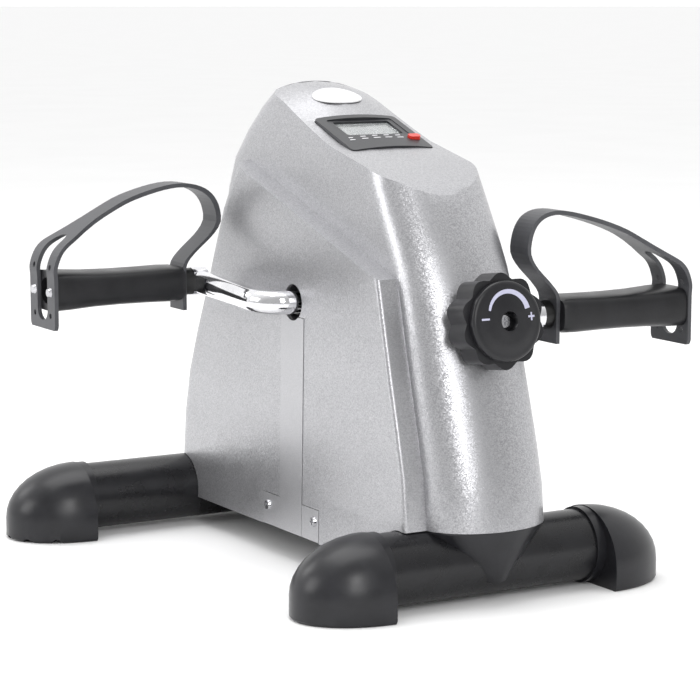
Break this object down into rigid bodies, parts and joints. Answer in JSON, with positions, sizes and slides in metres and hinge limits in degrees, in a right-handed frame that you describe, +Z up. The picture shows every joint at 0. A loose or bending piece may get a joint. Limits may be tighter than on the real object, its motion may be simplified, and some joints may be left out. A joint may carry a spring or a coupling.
{
  "type": "pedal exerciser",
  "caption": "Floor-standing pedal exerciser with a bent crank, strapped pedals, moulded silver housing, tension knob, tilted display and two cross tubes with rounded foot caps.",
  "frame": {"origin": "on the floor, midway between the two floor tubes and on the machine's mid-plane", "axes": "+X to the machine's right along the crank and the floor tubes, +Y towards the rear tube, +Z up; the knob is on the -Y side"},
  "size_m": [0.422, 0.402, 0.3436],
  "materials": {
    "tube_paint": "satin black paint",
    "frame_paint": "satin black paint",
    "cap_plastic": "satin moulded black",
    "silver_flake": "silver metallic paint on plastic",
    "silver_smooth": "smooth silver paint on plastic",
    "screw_steel": "plated steel",
    "console_black": "satin black",
    "lcd_glass": "clear window",
    "lcd_grey": "grey green",
    "button_red": "red",
    "badge_white": "pale silver",
    "crank_chrome": "polished",
    "cast_steel": "turned",
    "bronze": "sintered bronze",
    "pedal_plastic": "satin moulded black",
    "collar_black": "black oxide",
    "strap_rubber": "dark grey rubber",
    "felt": "felt",
    "band_steel": "spring steel",
    "knob_plastic": "satin moulded black"
  },
  "bodies": {
    "base": {"front_tube": "tube_paint", "rear_tube": "tube_paint", "frame_spine": "frame_paint", "upright_left": "frame_paint", "upright_right": "frame_paint", "bearing_bush_left": "bronze", "bearing_bush_right": "bronze", "front_saddle": "cap_plastic", "foot_cap_front_left": "cap_plastic", "foot_cap_front_right": "cap_plastic", "foot_cap_rear_left": "cap_plastic", "foot_cap_rear_right": "cap_plastic", "housing_shell": "silver_flake", "slot_cover_left": "silver_smooth", "slot_cover_right": "silver_smooth", "cover_screws": "screw_steel", "console_case": "console_black", "lcd_window": "lcd_glass", "lcd_panel": "lcd_grey", "badge": "badge_white", "spindle_bracket": "frame_paint"},
    "crank": {"crankshaft": "crank_chrome", "brake_drum": "cast_steel", "pedal_spindle_left": "collar_black", "pedal_spindle_right": "collar_black"},
    "left_pedal": {"pedal_left": "pedal_plastic", "foot_strap_left": "strap_rubber", "strap_studs_left": "screw_steel"},
    "right_pedal": {"pedal_right": "pedal_plastic", "foot_strap_right": "strap_rubber", "strap_studs_right": "screw_steel"},
    "brake_carriage": {"friction_band": "band_steel", "brake_felt": "felt", "tension_carriage": "band_steel"},
    "knob": {"tension_spindle": "screw_steel", "spindle_collars": "screw_steel", "tension_knob": "knob_plastic", "knob_screw": "screw_steel"},
    "button": {"mode_button": "button_red"}
  },
  "joints": [
    {"name": "crank_spin", "type": "hinge", "parent": "base", "child": "crank", "pos_m": [0, -0.012, 0.19], "axis": [1, 0, 0], "continuous": true},
    {"name": "left_pedal_spin", "type": "hinge", "parent": "crank", "child": "left_pedal", "pos_m": [-0.15, 0.09584, 0.19584], "axis": [1, 0, 0], "continuous": true},
    {"name": "right_pedal_spin", "type": "hinge", "parent": "crank", "child": "right_pedal", "pos_m": [0.15, -0.11984, 0.18416], "axis": [1, 0, 0], "continuous": true},
    {"name": "tension_knob_turn", "type": "hinge", "parent": "base", "child": "knob", "pos_m": [0, -0.19796, 0.194], "axis": [0, -0.9914, 0.1305], "range_deg": [0, 720]},
    {"name": "band_tension", "type": "slide", "parent": "base", "child": "brake_carriage", "axis": [0, -0.9914, 0.1305], "range_m": [0, 0.0025]},
    {"name": "mode_button_press", "type": "slide", "parent": "base", "child": "button", "axis": [0, 0.3305, -0.9438], "range_m": [0, 0.0012], "stiffness_N_per_m": 400, "springref_m": -0.0005}
  ],
  "couplings": [
    {"joint": "band_tension", "follows": "tension_knob_turn", "m_per_rad": 0.00019894}
  ]
}
